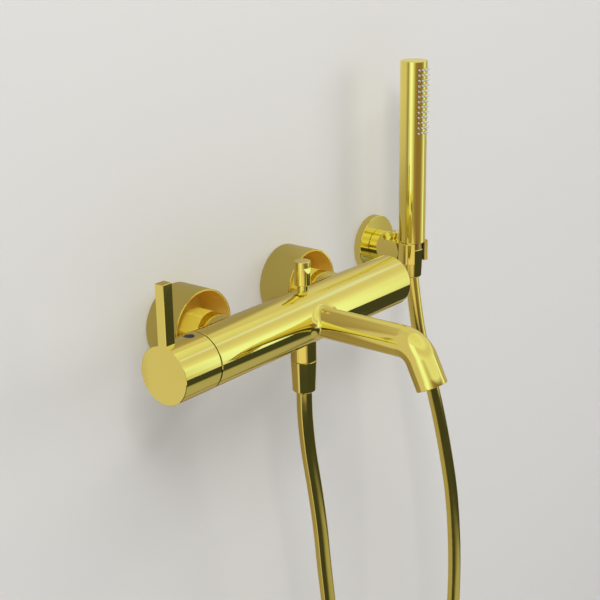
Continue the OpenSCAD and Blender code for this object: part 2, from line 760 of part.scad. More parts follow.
module non_return_valve() color("white") on_axis() difference() {
    rod_z(valve_insert_d, -outlet_thread_low + 1, -outlet_thread_low + 1 + valve_insert_len);
    rod_z(valve_insert_d - 4, -outlet_thread_low, -outlet_thread_low + valve_insert_len / 2);
    for (k = [0:3]) rotate([0, 0, 90 * k]) translate([3, 0, 0])
        rod_z(2.6, -outlet_thread_low, -outlet_thread_low + valve_insert_len + 2);
}

// ---------------------------------------------------------------- wall connection

module s_union(x) color("goldenrod") difference() {
    union() {
        translate([x, 0, 0]) rod_y(port_thread_d, -1, port_thread_len);
        at_inlet(x) {
            rod_y(union_collar_d, -union_collar_end, 0);
            rod_y(union_tube_d, -shoulder_face, -union_collar_end + 1);
            rod_y(union_flange_d, -flange_face, -shoulder_face);
        }
    }
    translate([x, 0, 0]) rod_y(union_bore_d, -union_collar_end + 3, port_thread_len + 1);
    at_inlet(x) rod_y(union_bore_d, -flange_face - 1, -3);
}

module union_nut(x) color("goldenrod") at_inlet(x) difference() {
    intersection() {
        translate([0, -nut_back, 0]) rotate([90, 0, 0]) cylinder(d = nut_af / cos(30), h = nut_len, $fn = 6);
        drum_y(nut_af / cos(30) - 0.8, -nut_front, -nut_back);
    }
    rod_y(inlet_thread_d + 2 * fit, -nut_front - 1, -shoulder_face);
    rod_y(union_tube_d + 2 * fit, -nut_front, -nut_back + 1);
}

module inlet_washer(x) color("black") at_inlet(x)
    ring_y(union_flange_d, union_bore_d, -spigot_face, -flange_face);

// Drawn cup: closed at the wall, with a rounded edge there, and open towards the room.
module escutcheon(x) color("goldenrod") at_inlet(x) rotate([90, 0, 0]) rotate_extrude() {
    difference() {
        union() {
            translate([union_collar_d / 2 + fit, 0])
                square([esc_d / 2 - esc_edge_r - union_collar_d / 2 - fit, esc_depth]);
            translate([union_collar_d / 2 + fit, esc_edge_r])
                square([esc_d / 2 - union_collar_d / 2 - fit, esc_depth - esc_edge_r]);
            translate([esc_d / 2 - esc_edge_r, esc_edge_r]) circle(r = esc_edge_r);
        }
        translate([0, esc_wall]) square([esc_d / 2 - esc_wall, esc_depth]);
    }
}

module left_union() s_union(inlet_xs[0]);
module right_union() s_union(inlet_xs[1]);
module left_union_nut() union_nut(inlet_xs[0]);
module right_union_nut() union_nut(inlet_xs[1]);
module left_inlet_washer() inlet_washer(inlet_xs[0]);
module right_inlet_washer() inlet_washer(inlet_xs[1]);
module left_escutcheon() escutcheon(inlet_xs[0]);
module right_escutcheon() escutcheon(inlet_xs[1]);

// ---------------------------------------------------------------- hose and its ends

// Conical nut, its thread at the top.
module hose_nut() difference() {
    rotate_extrude() polygon([
        [0, 0], [hose_nut_d / 2 - edge, 0], [hose_nut_d / 2, -edge],
        [hose_nut_tip_d / 2, -hose_nut_len + 1.2], [hose_nut_tip_d / 2 - 1.2, -hose_nut_len],
        [0, -hose_nut_len]]);
    rod_z(hose_thread_d + 2 * fit, nut_shoulder_z, 1);
    rod_z(hose_nut_bore_d, -hose_nut_len - 1, 0);
}

module hose_ferrule() difference() {
    union() {
        rod_z(ferrule_flange_d, nut_shoulder_z, nut_flange_z);
        rod_z(ferrule_d, ferrule_end_z, nut_flange_z - 1);
    }
    rod_z(ferrule_bore_d, ferrule_end_z - 1, nut_flange_z + 1);
}

module hose_washer() ring_z(ferrule_flange_d, ferrule_bore_d + 2, nut_flange_z, nut_washer_z);

module outlet_hose_nut() color("goldenrod") at_outlet_nut() hose_nut();
module outlet_hose_ferrule() color("goldenrod") at_outlet_nut() hose_ferrule();
module outlet_hose_washer() color("black") at_outlet_nut() hose_washer();
module shower_hose_nut() color("goldenrod") at_shower_nut() hose_nut();
module shower_hose_ferrule() color("goldenrod") at_shower_nut() hose_ferrule();
module shower_hose_washer() color("black") at_shower_nut() hose_washer();

// Smooth curve through the route's points.
function route_at(i) = hose_route[max(0, min(len(hose_route) - 1, i))];
function route_point(i, t) =
    let (a = route_at(i - 1), b = route_at(i), c = route_at(i + 1), d = route_at(i + 2))
    0.5 * (2 * b + (c - a) * t + (2 * a - 5 * b + 4 * c - d) * t * t + (3 * b - a - 3 * c + d) * t * t * t);
hose_path = concat(
    [for (i = [0:len(hose_route) - 2], k = [0:hose_steps - 1]) route_point(i, k / hose_steps)],
    [hose_route[len(hose_route) - 1]]);
function path_tangent(p, k) =
    k == 0 || k == len(p) - 1 ? [0, 0, k == 0 ? -1 : 1]
    : (p[k + 1] - p[k - 1]) / norm(p[k + 1] - p[k - 1]);
hose_tangents = [for (k = [0:len(hose_path) - 1]) path_tangent(hose_path, k)];

module hose() color("goldenrod")
    polyhedron(points = tube_points(hose_path, hose_tangents, hose_d / 2, hose_sides),
               faces = tube_faces(len(hose_path), hose_sides));

// ---------------------------------------------------------------- hand shower

module at_nozzles() {
    for (row = [0:nozzle_rows - 1], col = [0:nozzle_cols - 1])
        translate([0, 0, first_row_z - row * nozzle_pitch])
            rotate([90, 0, nozzle_step * (col - (nozzle_cols - 1) / 2)]) children();
}

module hand_shower_tube() color("goldenrod") at_holder() difference() {
    ring_z(stick_d, tube_bore_d, stick_low, tube_top);
    at_nozzles() cylinder(d = nozzle_d + 2 * fit, h = stick_d, $fn = 24);
}

module hand_shower_end_cap() color("goldenrod") at_holder() {
    rotate_extrude() {
        translate([0, tube_top]) square([stick_d / 2 - end_cap_r, end_cap_h]);
        translate([0, tube_top]) square([stick_d / 2, end_cap_h - end_cap_r]);
        translate([stick_d / 2 - end_cap_r, stick_top - end_cap_r]) intersection() {
            circle(r = end_cap_r);
            square(end_cap_r);
        }
    }
    rod_z(tube_bore_d - 2 * fit, tube_top - plug_h, tube_top + 0.5);
}

module nozzle_mat() color("gainsboro") at_holder() {
    rotate([0, 0, -90 - mat_half_angle])
        translate([0, 0, first_row_z - nozzle_zone - mat_margin])
            rotate_extrude(angle = 2 * mat_half_angle)
                translate([mat_d / 2 - mat_t, 0]) square([mat_t, nozzle_zone + 2 * mat_margin]);
    at_nozzles() translate([0, 0, nozzle_root_r])
        cylinder(d1 = nozzle_d, d2 = nozzle_tip_d, h = stick_d / 2 + nozzle_out - nozzle_root_r, $fn = 24);
}

module spray_duct() color("gray") at_holder() difference() {
    ring_z(duct_d, duct_bore_d, duct_low, duct_top);
    translate([-duct_bore_d / 2 + 2, -stick_d, first_row_z - nozzle_zone - 2])
        cube([duct_bore_d - 4, stick_d, nozzle_zone + 4]);
}

module shower_connector() color("goldenrod") at_holder() difference() {
    union() {
        rod_z(tube_bore_d - 2 * fit, stick_low, stick_low + connector_h);
        rod_z(hose_thread_d, shower_thread_low, stick_low + 1);
    }
    rod_z(shower_bore_d, shower_thread_low - 1, stick_low + connector_h + 1);
    rod_z(restrictor_d + 2 * fit, shower_thread_low - 1, shower_thread_low + restrictor_t + 0.5);
}

module flow_restrictor() color("white") at_holder() difference() {
    rod_z(restrictor_d, shower_thread_low + 0.5, shower_thread_low + 0.5 + restrictor_t);
    rod_z(4, shower_thread_low, shower_thread_low + 2 + restrictor_t);
}

// ---------------------------------------------------------------- wall bracket

module bracket_rose() color("goldenrod") at_holder() translate([0, holder_out, 0]) difference() {
    drum_y(rose_d, -rose_t, 0);
    rod_y(rose_d - 2 * rose_wall - 2, -rose_t + rose_wall, 1);
    rod_y(neck_spindle_d + 2 * fit, -rose_t - 1, 0);
    translate([0, -set_screw_y, 0]) rod_z(set_screw_d + 2 * fit, -rose_d, -plate_d / 2);
}

module bracket_back_plate() color("silver") at_holder() translate([0, holder_out, 0]) difference() {
    rod_y(plate_d, -plate_t, 0);
    rod_y(spindle_d - 2 + 2 * fit, -plate_t - 1, 1);
    for (side = [-1, 1]) translate([side * screw_spacing / 2, 0, 0]) {
        rod_y(wall_screw_d + 2 * fit, -plate_t - 1, 1);
        translate([0, -plate_t + 2, 0]) rotate([90, 0, 0])
            cylinder(d1 = wall_screw_d + 2 * fit, d2 = screw_head_d + 2 * fit, h = 2.01);
    }
}

module bracket_screws() color("silver") at_holder() translate([0, holder_out, 0])
    for (side = [-1, 1]) translate([side * screw_spacing / 2, 0, 0]) difference() {
        union() {
            rod_y(wall_screw_d, -plate_t + 1, wall_plug_len - 2);
            translate([0, -plate_t + 2, 0]) rotate([90, 0, 0])
                cylinder(d1 = wall_screw_d, d2 = screw_head_d, h = 2);
        }
        translate([0, -plate_t, 0]) rotate([90, 0, 0]) cube([5, 0.9, 2], center = true);
    }

module wall_plugs() color("gray") at_holder() translate([0, holder_out, 0])
    for (side = [-1, 1]) translate([side * screw_spacing / 2, 0, 0]) difference() {
        rod_y(wall_plug_d, 0, wall_plug_len);
        rod_y(wall_screw_d + 0.1, -1, wall_plug_len - 2);
    }

module rose_set_screw() color("dimgray") at_holder() translate([0, holder_out - set_screw_y, 0])
    rod_z(set_screw_d, -rose_d / 2 + 0.6, -plate_d / 2);

// Spindle from the back plate through the rose into the arm.
module arm_spindle() color("goldenrod") at_holder() {
    rod_y(spindle_d - 2, holder_out - plate_t, holder_out);
    rod_y(neck_spindle_d, arm_back, holder_out - plate_t);
    rod_y(spindle_d, spindle_front, arm_back + 1);
}

// Sector that is left open at the front of the ring.
module ring_opening() {
    rotate([0, 0, -90 - ring_open]) translate([0, 0, -arm_h])
        rotate_extrude(angle = 2 * ring_open) square([ring_d, 2 * arm_h]);
}

module holder_arm() color("goldenrod") at_holder() difference() {
    union() {
        drum_y(arm_d, arm_back - arm_root, arm_back);
        intersection() {
            rod_y(arm_d, 0, arm_back - 2);
            translate([-arm_d, 0, -ring_top]) cube([2 * arm_d, arm_back, arm_h]);
        }
        translate([0, 0, -ring_top]) drum(ring_d, arm_h);
    }
    rod_z(liner_d + 0.1, -arm_h, arm_h);
    ring_opening();
    rod_y(spindle_d + 2 * fit, spindle_front - 1, arm_back + 1);
    translate([0, lock_y, 0]) rod_z(lock_knob_d / 2 + 2 * fit, 0, arm_h);
}

module holder_liner() color("dimgray") at_holder() difference() {
    ring_z(liner_d, liner_bore_d, -ring_top, ring_top);
    ring_opening();
}

module arm_lock_screw() color("goldenrod") at_holder() translate([0, lock_y, 0]) {
    rod_z(lock_knob_d / 2, spindle_d / 2, ring_top + 1);
    translate([0, 0, ring_top + 0.2]) drum(lock_knob_d, lock_knob_h, 1.6);
}

mixer_body();
body_end_plug();
end_plug_seal();
spout();
aerator_housing();
aerator_insert();
aerator_washer();
handle();
index_plug();
handle_grub_screw();
handle_glide_ring();
cartridge_housing();
cartridge_base();
cartridge_base_seals();
ceramic_disc_fixed();
ceramic_disc_turning();
cartridge_stem();
stem_seal();
cartridge_ring_nut();
diverter_knob();
diverter_rod();
diverter_valve_disc();
diverter_guide();
diverter_rod_seal();
diverter_cage();
diverter_spring();
hose_outlet();
non_return_valve();
left_union();
right_union();
left_union_nut();
right_union_nut();
left_inlet_washer();
right_inlet_washer();
left_escutcheon();
right_escutcheon();
outlet_hose_nut();
outlet_hose_ferrule();
outlet_hose_washer();
hose();
shower_hose_nut();
shower_hose_ferrule();
shower_hose_washer();
hand_shower_tube();
hand_shower_end_cap();
nozzle_mat();
spray_duct();
shower_connector();
flow_restrictor();
bracket_rose();
bracket_back_plate();
bracket_screws();
wall_plugs();
rose_set_screw();
arm_spindle();
holder_arm();
holder_liner();
arm_lock_screw();
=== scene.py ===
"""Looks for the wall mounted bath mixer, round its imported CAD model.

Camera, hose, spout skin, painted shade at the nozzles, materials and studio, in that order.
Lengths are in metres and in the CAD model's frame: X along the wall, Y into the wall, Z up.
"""
import json
import math

import bmesh
import bpy
from mathutils import Matrix, Vector


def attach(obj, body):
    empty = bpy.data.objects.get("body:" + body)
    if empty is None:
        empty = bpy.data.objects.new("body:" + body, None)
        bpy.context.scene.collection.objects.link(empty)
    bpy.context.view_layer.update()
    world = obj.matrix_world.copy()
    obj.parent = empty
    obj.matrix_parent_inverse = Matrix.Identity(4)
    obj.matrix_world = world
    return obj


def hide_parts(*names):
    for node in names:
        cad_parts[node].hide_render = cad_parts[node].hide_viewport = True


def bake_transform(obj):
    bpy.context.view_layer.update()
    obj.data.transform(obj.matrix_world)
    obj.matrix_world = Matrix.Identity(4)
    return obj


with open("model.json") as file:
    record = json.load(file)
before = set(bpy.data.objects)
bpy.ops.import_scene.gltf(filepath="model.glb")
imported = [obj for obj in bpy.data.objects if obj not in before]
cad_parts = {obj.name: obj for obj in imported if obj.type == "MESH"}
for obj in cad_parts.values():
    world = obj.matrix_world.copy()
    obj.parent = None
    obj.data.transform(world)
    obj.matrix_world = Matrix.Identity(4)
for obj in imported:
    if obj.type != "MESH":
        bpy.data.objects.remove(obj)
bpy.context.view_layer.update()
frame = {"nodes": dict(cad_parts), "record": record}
nodes = frame["nodes"]
scene = bpy.context.scene

# ------------------------------------------------------------------ camera
# The position is in metres, the angles in radians, the focal length in widths of the frame.
CAM_AT = Vector((-0.8034, -0.7274, 0.3531))
CAM_YAW, CAM_PITCH, CAM_ROLL = 0.8932, -0.3195, -0.0165
CAM_FOCAL = 2.0665
SENSOR_WIDTH_MM = 36.0
CLIP_NEAR, CLIP_FAR = 0.05, 60.0


def make_camera():
    """The photograph's camera. It yaws from +Y to +X, pitches up, and rolls its right side up."""
    ahead = Vector((math.sin(CAM_YAW) * math.cos(CAM_PITCH),
                    math.cos(CAM_YAW) * math.cos(CAM_PITCH), math.sin(CAM_PITCH)))
    right = Vector((math.cos(CAM_YAW), -math.sin(CAM_YAW), 0.0))
    up = right.cross(ahead)
    c, s = math.cos(CAM_ROLL), math.sin(CAM_ROLL)
    right, up = right * c + up * s, up * c - right * s
    data = bpy.data.cameras.new("camera")
    data.sensor_width = SENSOR_WIDTH_MM
    data.lens = CAM_FOCAL * SENSOR_WIDTH_MM
    data.clip_start, data.clip_end = CLIP_NEAR, CLIP_FAR
    cam = bpy.data.objects.new("camera", data)
    cam.matrix_world = Matrix((
        (right.x, up.x, -ahead.x, CAM_AT.x),
        (right.y, up.y, -ahead.y, CAM_AT.y),
        (right.z, up.z, -ahead.z, CAM_AT.z),
        (0, 0, 0, 1)))
    scene.collection.objects.link(cam)
    scene.camera = cam


make_camera()


# ------------------------------------------------------------------ mesh helpers
def new_object(name, verts, faces, smooth_angle=30.0):
    """A shaded mesh object, with its edges sharp where they turn by more than the angle."""
    mesh = bpy.data.meshes.new(name)
    mesh.from_pydata([tuple(v) for v in verts], [], faces)
    mesh.validate()
    bm = bmesh.new()
    bm.from_mesh(mesh)
    bmesh.ops.recalc_face_normals(bm, faces=bm.faces)
    bm.to_mesh(mesh)
    bm.free()
    mesh.shade_smooth()
    mesh.set_sharp_from_angle(angle=math.radians(smooth_angle))
    obj = bpy.data.objects.new(name, mesh)
    scene.collection.objects.link(obj)
    return obj


def skin(rings):
    """Quads between rings of equal length, each a closed loop of points, with both ends closed."""
    n = len(rings[0])
    verts = [p for ring in rings for p in ring]
    faces = []
    for k in range(len(rings) - 1):
        for i in range(n):
            j = (i + 1) % n
            faces.append((k * n + i, k * n + j, (k + 1) * n + j, (k + 1) * n + i))
    for k in (0, len(rings) - 1):
        verts.append(sum((Vector(p) for p in rings[k]), Vector()) / n)
        c = len(verts) - 1
        faces += [(k * n + i, k * n + (i + 1) % n, c) for i in range(n)]
    return verts, faces


# ------------------------------------------------------------------ hose
HOSE_D = 0.014
HOSE_SIDES = 40
HOSE_STEPS = 12
HOSE_SMOOTH_ANGLE = 40
HOSE_ROUTE_MM = [
    (0, -84, -70.3), (1, -84, -100), (5.5, -84, -135), (13.5, -84, -175), (21, -84, -218),
    (26.5, -84, -262), (32, -85, -310), (37, -86, -360), (42, -88, -410), (47, -90, -460),
    (54, -91, -508), (67, -93, -553), (90, -94, -590), (122, -95, -612), (158, -95, -615),
    (192, -94, -600), (220, -92, -570), (240, -91, -529), (252, -89, -482), (259, -88, -431),
    (262, -87, -380), (262, -85, -330), (259, -82, -280), (253, -77, -230), (245, -71, -180),
    (235, -64, -130), (226, -57, -82), (221, -51, -24.3)]


def spline(points, steps):
    """The same uniform Catmull-Rom curve as the CAD hose, with its end points repeated."""
    out = []
    last = len(points) - 1

    def at(i):
        return points[max(0, min(last, i))]

    for i in range(last):
        a, b, c, d = at(i - 1), at(i), at(i + 1), at(i + 2)
        for k in range(steps):
            t = k / steps
            out.append(0.5 * (2 * b + (c - a) * t + (2 * a - 5 * b + 4 * c - d) * t * t
                              + (3 * b - a - 3 * c + d) * t ** 3))
    return out + [points[last]]


def tube_rings(path, radius, sides, first, last):
    """Circles along a path, square to it, turned with as little twist as possible."""
    tangents = [(path[min(k + 1, len(path) - 1)] - path[max(k - 1, 0)]).normalized()
                for k in range(len(path))]
    tangents[0], tangents[-1] = first, last
    side = tangents[0].orthogonal().normalized()
    rings = []
    for k, (p, t) in enumerate(zip(path, tangents)):
        if k:
            side = tangents[k - 1].rotation_difference(t) @ side
            side = (side - t * side.dot(t)).normalized()
        other = t.cross(side)
        rings.append([p + radius * (math.cos(2 * math.pi * i / sides) * side
                                    + math.sin(2 * math.pi * i / sides) * other)
                      for i in range(sides)])
    return rings


def make_hose():
    """The hose from the mixer's outlet to the hand shower, as the CAD model routes it."""
    route = [Vector(p) / 1000 for p in HOSE_ROUTE_MM]
    path = spline(route, HOSE_STEPS)
    rings = tube_rings(path, HOSE_D / 2, HOSE_SIDES, Vector((0, 0, -1)), Vector((0, 0, 1)))
    hose = new_object("shower_hose", *skin(rings), smooth_angle=HOSE_SMOOTH_ANGLE)
    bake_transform(hose)
    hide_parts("hose")
    return hose


hose = make_hose()

# ------------------------------------------------------------------ spout
# The sizes are those of part.scad. AXIS is the body's axis where the spout leaves it.
AXIS = Vector((0, -0.084, -0.003))
BODY_R = 0.0245
SPOUT_R = 0.0135
SPOUT_STRAIGHT = 0.105
BEND_R = 0.0215
BEND = math.radians(64)
SPOUT_END = 0.024
FILLET_R = 0.007
SPOUT_SIDES = 128
AERATOR_BORE_R, AERATOR_BORE_DEPTH = 0.01165, 0.0125
TUBE_BORE_R, TUBE_BORE_DEPTH = 0.0100, 0.020
LIP_R = 0.0004
FILLET_SINK = 0.0006
FILLET_STEPS, BEND_STEPS, LIP_STEPS = 16, 28, 4
STRAIGHT_RINGS_AT = (0.040, 0.060, 0.080, 0.095, SPOUT_STRAIGHT)
TIP_RINGS_AT = (0.008, 0.016, SPOUT_END - LIP_R)
SPOUT_SMOOTH_ANGLE = 50


def make_spout():
    """One smooth skin: root fillet, straight, bend, tip with a rounded lip and its bore."""
    reach = SPOUT_R + FILLET_R
    angles = [2 * math.pi * i / SPOUT_SIDES for i in range(SPOUT_SIDES)]
    start = Vector((0, -SPOUT_STRAIGHT - BEND_R * math.sin(BEND), -BEND_R * (1 - math.cos(BEND))))
    along = Vector((0, -math.cos(BEND), -math.sin(BEND)))

    def fillet_point(a, t):
        """From the spout's side (t = 0) to the body (t = 1), at angle a round the spout."""
        c = Vector((reach * math.cos(a),
                    -math.sqrt((BODY_R + FILLET_R) ** 2 - (reach * math.sin(a)) ** 2),
                    reach * math.sin(a)))
        u = Vector((-math.cos(a), 0, -math.sin(a)))
        v = -Vector((0, c.y, c.z)).normalized()
        w = u.angle(v)
        d = (math.sin((1 - t) * w) * u + math.sin(t * w) * v) / math.sin(w)
        return c + d * FILLET_R, v

    def ring_at(centre, tilt, r):
        out = Vector((0, math.sin(tilt), -math.cos(tilt)))
        return [centre + r * (math.cos(a) * Vector((1, 0, 0)) - math.sin(a) * out)
                for a in angles]

    def tip_ring(s, r):
        return ring_at(start + along * s, BEND, r)

    rings = [[p + inward * FILLET_SINK for p, inward in (fillet_point(a, 1) for a in angles)]]
    for k in range(FILLET_STEPS + 1):
        rings.append([fillet_point(a, 1 - k / FILLET_STEPS)[0] for a in angles])
    for y in STRAIGHT_RINGS_AT:
        rings.append(ring_at(Vector((0, -y, 0)), 0, SPOUT_R))
    for k in range(1, BEND_STEPS + 1):
        t = BEND * k / BEND_STEPS
        rings.append(ring_at(Vector((0, -SPOUT_STRAIGHT - BEND_R * math.sin(t),
                                     -BEND_R * (1 - math.cos(t)))), t, SPOUT_R))
    for s in TIP_RINGS_AT:
        rings.append(tip_ring(s, SPOUT_R))
    for k in range(1, LIP_STEPS + 1):
        q = math.pi / 2 * k / LIP_STEPS
        rings.append(tip_ring(SPOUT_END - LIP_R * (1 - math.sin(q)),
                              SPOUT_R - LIP_R * (1 - math.cos(q))))
    for k in range(LIP_STEPS + 1):
        q = math.pi / 2 * k / LIP_STEPS
        rings.append(tip_ring(SPOUT_END - LIP_R * (1 - math.cos(q)),
                              AERATOR_BORE_R + LIP_R * (1 - math.sin(q))))
    rings.append(tip_ring(SPOUT_END - AERATOR_BORE_DEPTH, AERATOR_BORE_R))
    rings.append(tip_ring(SPOUT_END - AERATOR_BORE_DEPTH, TUBE_BORE_R))
    rings.append(tip_ring(SPOUT_END - TUBE_BORE_DEPTH, TUBE_BORE_R))
    rings = [[AXIS + p for p in ring] for ring in rings]
    spout = new_object("spout_skin", *skin(rings), smooth_angle=SPOUT_SMOOTH_ANGLE)
    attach(spout, "mixer")
    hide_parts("spout")
    return spout


spout = make_spout()

# ------------------------------------------------------------------ painted shade at the nozzles
# The places of the nozzles are those of part.scad. The dark rings and tip discs are painted shade.
# LIFT keeps the flat rings clear of the tube.
STICK_AXIS = Vector((0.221, -0.051))
STICK_R = 0.0135
STICK_TOP = 0.1937
NOZZLE_ROWS, NOZZLE_COLS = 13, 5
NOZZLE_TOP, NOZZLE_PITCH = 0.0084, 0.00515
NOZZLE_STEP = math.radians(17.5)
NOZZLE_TIP_R = 0.0155
SHADE_RING_INNER_R, SHADE_RING_OUTER_R = 0.00118, 0.00155
HOLE_R = 0.00045
SHADE_SIDES = 16
LIFT = 0.00004


def make_nozzle_painted_shade():
    """Painted shade: a dark ring round each nozzle in the gap where it leaves the tube, and a dark
    disc for the hole in its tip.
    """
    verts, faces = [], []
    circle = [2 * math.pi * k / SHADE_SIDES for k in range(SHADE_SIDES)]
    for row in range(NOZZLE_ROWS):
        z = STICK_TOP - NOZZLE_TOP - row * NOZZLE_PITCH
        for col in range(NOZZLE_COLS):
            a = (col - (NOZZLE_COLS - 1) / 2) * NOZZLE_STEP
            out = Vector((math.sin(a), -math.cos(a), 0))
            across = Vector((math.cos(a), math.sin(a), 0))
            centre = Vector((STICK_AXIS.x, STICK_AXIS.y, z))
            first = len(verts)
            for r in (SHADE_RING_INNER_R, SHADE_RING_OUTER_R):
                for t in circle:
                    x, y = r * math.cos(t), r * math.sin(t)
                    depth = math.sqrt(STICK_R ** 2 - x ** 2) + LIFT
                    verts.append(centre + out * depth + across * x + Vector((0, 0, y)))
            for k in range(SHADE_SIDES):
                after = (k + 1) % SHADE_SIDES
                faces.append((first + k, first + after,
                              first + SHADE_SIDES + after, first + SHADE_SIDES + k))
            first = len(verts)
            for t in circle:
                verts.append(centre + out * (NOZZLE_TIP_R + LIFT)
                             + across * (HOLE_R * math.cos(t))
                             + Vector((0, 0, HOLE_R * math.sin(t))))
            faces.append(tuple(range(first, first + SHADE_SIDES)))
    nozzle_shade = new_object("nozzle_painted_shade", verts, faces)
    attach(nozzle_shade, "hand_shower")
    return nozzle_shade


nozzle_shade = make_nozzle_painted_shade()


# ------------------------------------------------------------------ materials
def material(name):
    """A new material with its node tree and its Principled shader."""
    m = bpy.data.materials.new(name)
    m.use_nodes = True
    tree = m.node_tree
    return m, tree, tree.nodes["Principled BSDF"]


def add(tree, kind, **settings):
    """A new node, with its sockets and its properties set by name."""
    node = tree.nodes.new(kind)
    for key, value in settings.items():
        if key in node.inputs:
            node.inputs[key].default_value = value
        else:
            setattr(node, key, value)
    return node


def ramp(tree, source, stops):
    """A colour ramp over a value, from its stops of (place, colour)."""
    node = tree.nodes.new("ShaderNodeValToRGB")
    tree.links.new(source, node.inputs["Fac"])
    elements = node.color_ramp.elements
    while len(elements) < len(stops):
        elements.new(0.5)
    for element, (at, colour) in zip(elements, stops):
        element.position = at
        element.color = (*colour, 1.0)
    return node.outputs["Color"]


def noise(tree, scale, detail):
    """Noise in the model's own space; the scale is about how many patches lie in a metre."""
    coords = add(tree, "ShaderNodeTexCoord")
    tex = add(tree, "ShaderNodeTexNoise", Scale=scale, Detail=detail)
    tree.links.new(coords.outputs["Object"], tex.inputs["Vector"])
    return tex.outputs["Fac"]


def spread(tree, source, reach, result):
    """Maps the first range of a value onto the second, and holds its ends."""
    node = add(tree, "ShaderNodeMapRange")
    node.inputs["From Min"].default_value, node.inputs["From Max"].default_value = reach
    node.inputs["To Min"].default_value, node.inputs["To Max"].default_value = result
    tree.links.new(source, node.inputs["Value"])
    return node.outputs["Result"]


def bump(tree, shader, source, strength, distance):
    """A bump of the surface; the distance is its height in metres."""
    node = add(tree, "ShaderNodeBump", Strength=strength, Distance=distance)
    tree.links.new(source, node.inputs["Height"])
    tree.links.new(node.outputs["Normal"], shader.inputs["Normal"])


PATCH_SCALE, PATCH_DETAIL, PATCH_SPAN = 9.0, 2.0, (0.30, 0.70)
SMEAR_SCALE, SMEAR_DETAIL, SMEAR_SPAN = 55.0, 5.0, (0.30, 0.75)
GRAIN_SCALE, GRAIN_DETAIL, GRAIN_HEIGHT = 900.0, 2.0, 0.0002
WAVE_SCALE, WAVE_DETAIL, WAVE_HEIGHT = 30.0, 1.0, 0.0004


def metal(name, dark, light, rough, wave=0.0, grain=0.0, metallic=1.0):
    """Plated metal: faint patches in tint, fine smears in gloss, and a soft wave or a grain."""
    m, tree, shader = material(name)
    shader.inputs["Metallic"].default_value = metallic
    tint = ramp(tree, noise(tree, PATCH_SCALE, PATCH_DETAIL), list(zip(PATCH_SPAN, (dark, light))))
    tree.links.new(tint, shader.inputs["Base Color"])
    gloss = spread(tree, noise(tree, SMEAR_SCALE, SMEAR_DETAIL), SMEAR_SPAN, rough)
    tree.links.new(gloss, shader.inputs["Roughness"])
    if grain:
        bump(tree, shader, noise(tree, GRAIN_SCALE, GRAIN_DETAIL), grain, GRAIN_HEIGHT)
    elif wave:
        bump(tree, shader, noise(tree, WAVE_SCALE, WAVE_DETAIL), wave, WAVE_HEIGHT)
    return m


# The two cups' axes, their bore, and the width over which the inner look gives way to the outer.
# The inner look is painted reflection: a warm tint and low metallic.
CUP_AXIS_X, CUP_AXIS_Z = 0.075, -0.003
CUP_BORE_R, CUP_WALL = 0.0340, 0.0005
INSIDE_PAINTED_REFLECTION_TINT = (1.00, 0.72, 0.15)
INSIDE_PAINTED_REFLECTION_METALLIC = 0.25


def cup_metal_painted_inside(name, dark, light, rough):
    """Gold outside; inside the cup a painted reflection: a warm tint with low metallic that takes
    the lamps' light.
    """
    m = metal(name, dark, light, rough, wave=GOLD_WAVE)
    tree = m.node_tree
    shader = tree.nodes["Principled BSDF"]
    coords = add(tree, "ShaderNodeTexCoord")
    parts = add(tree, "ShaderNodeSeparateXYZ")
    tree.links.new(coords.outputs["Object"], parts.inputs[0])
    either = add(tree, "ShaderNodeMath", operation="ABSOLUTE")
    tree.links.new(parts.outputs["X"], either.inputs[0])
    place = add(tree, "ShaderNodeCombineXYZ")
    tree.links.new(either.outputs[0], place.inputs["X"])
    tree.links.new(parts.outputs["Z"], place.inputs["Z"])
    away = add(tree, "ShaderNodeVectorMath", operation="DISTANCE")
    away.inputs[1].default_value = (CUP_AXIS_X, 0, CUP_AXIS_Z)
    tree.links.new(place.outputs[0], away.inputs[0])
    rim = (CUP_BORE_R, CUP_BORE_R + CUP_WALL)
    metallic = spread(tree, away.outputs["Value"], rim, (INSIDE_PAINTED_REFLECTION_METALLIC, 1.0))
    tree.links.new(metallic, shader.inputs["Metallic"])
    tint = add(tree, "ShaderNodeMixRGB")
    tint.inputs["Color2"].default_value = (*INSIDE_PAINTED_REFLECTION_TINT, 1)
    tree.links.new(spread(tree, away.outputs["Value"], rim, (1.0, 0.0)), tint.inputs["Fac"])
    tree.links.new(shader.inputs["Base Color"].links[0].from_socket, tint.inputs["Color1"])
    tree.links.new(tint.outputs["Color"], shader.inputs["Base Color"])
    return m


MOTTLE_SCALE, MOTTLE_DETAIL, MOTTLE_SPAN = 120.0, 3.0, (0.35, 0.65)
PORE_SCALE, PORE_DETAIL, PORE_DEPTH = 1440.0, 2.0, 0.0001
SILICONE_DEPTH = (0.002, 0.002, 0.0018)


def plain(name, dark, light, rough, grain=0.12, subsurface=0.0, specular=0.5):
    """Moulded plastic, rubber or ceramic: slight mottling and a fine surface grain."""
    m, tree, shader = material(name)
    tint = ramp(tree, noise(tree, MOTTLE_SCALE, MOTTLE_DETAIL),
                list(zip(MOTTLE_SPAN, (dark, light))))
    tree.links.new(tint, shader.inputs["Base Color"])
    shader.inputs["Roughness"].default_value = rough
    shader.inputs["Specular IOR Level"].default_value = specular
    if subsurface:
        shader.inputs["Subsurface Weight"].default_value = subsurface
        shader.inputs["Subsurface Radius"].default_value = SILICONE_DEPTH
        shader.inputs["Subsurface Scale"].default_value = 1.0
    bump(tree, shader, noise(tree, PORE_SCALE, PORE_DETAIL), grain, PORE_DEPTH)
    return m


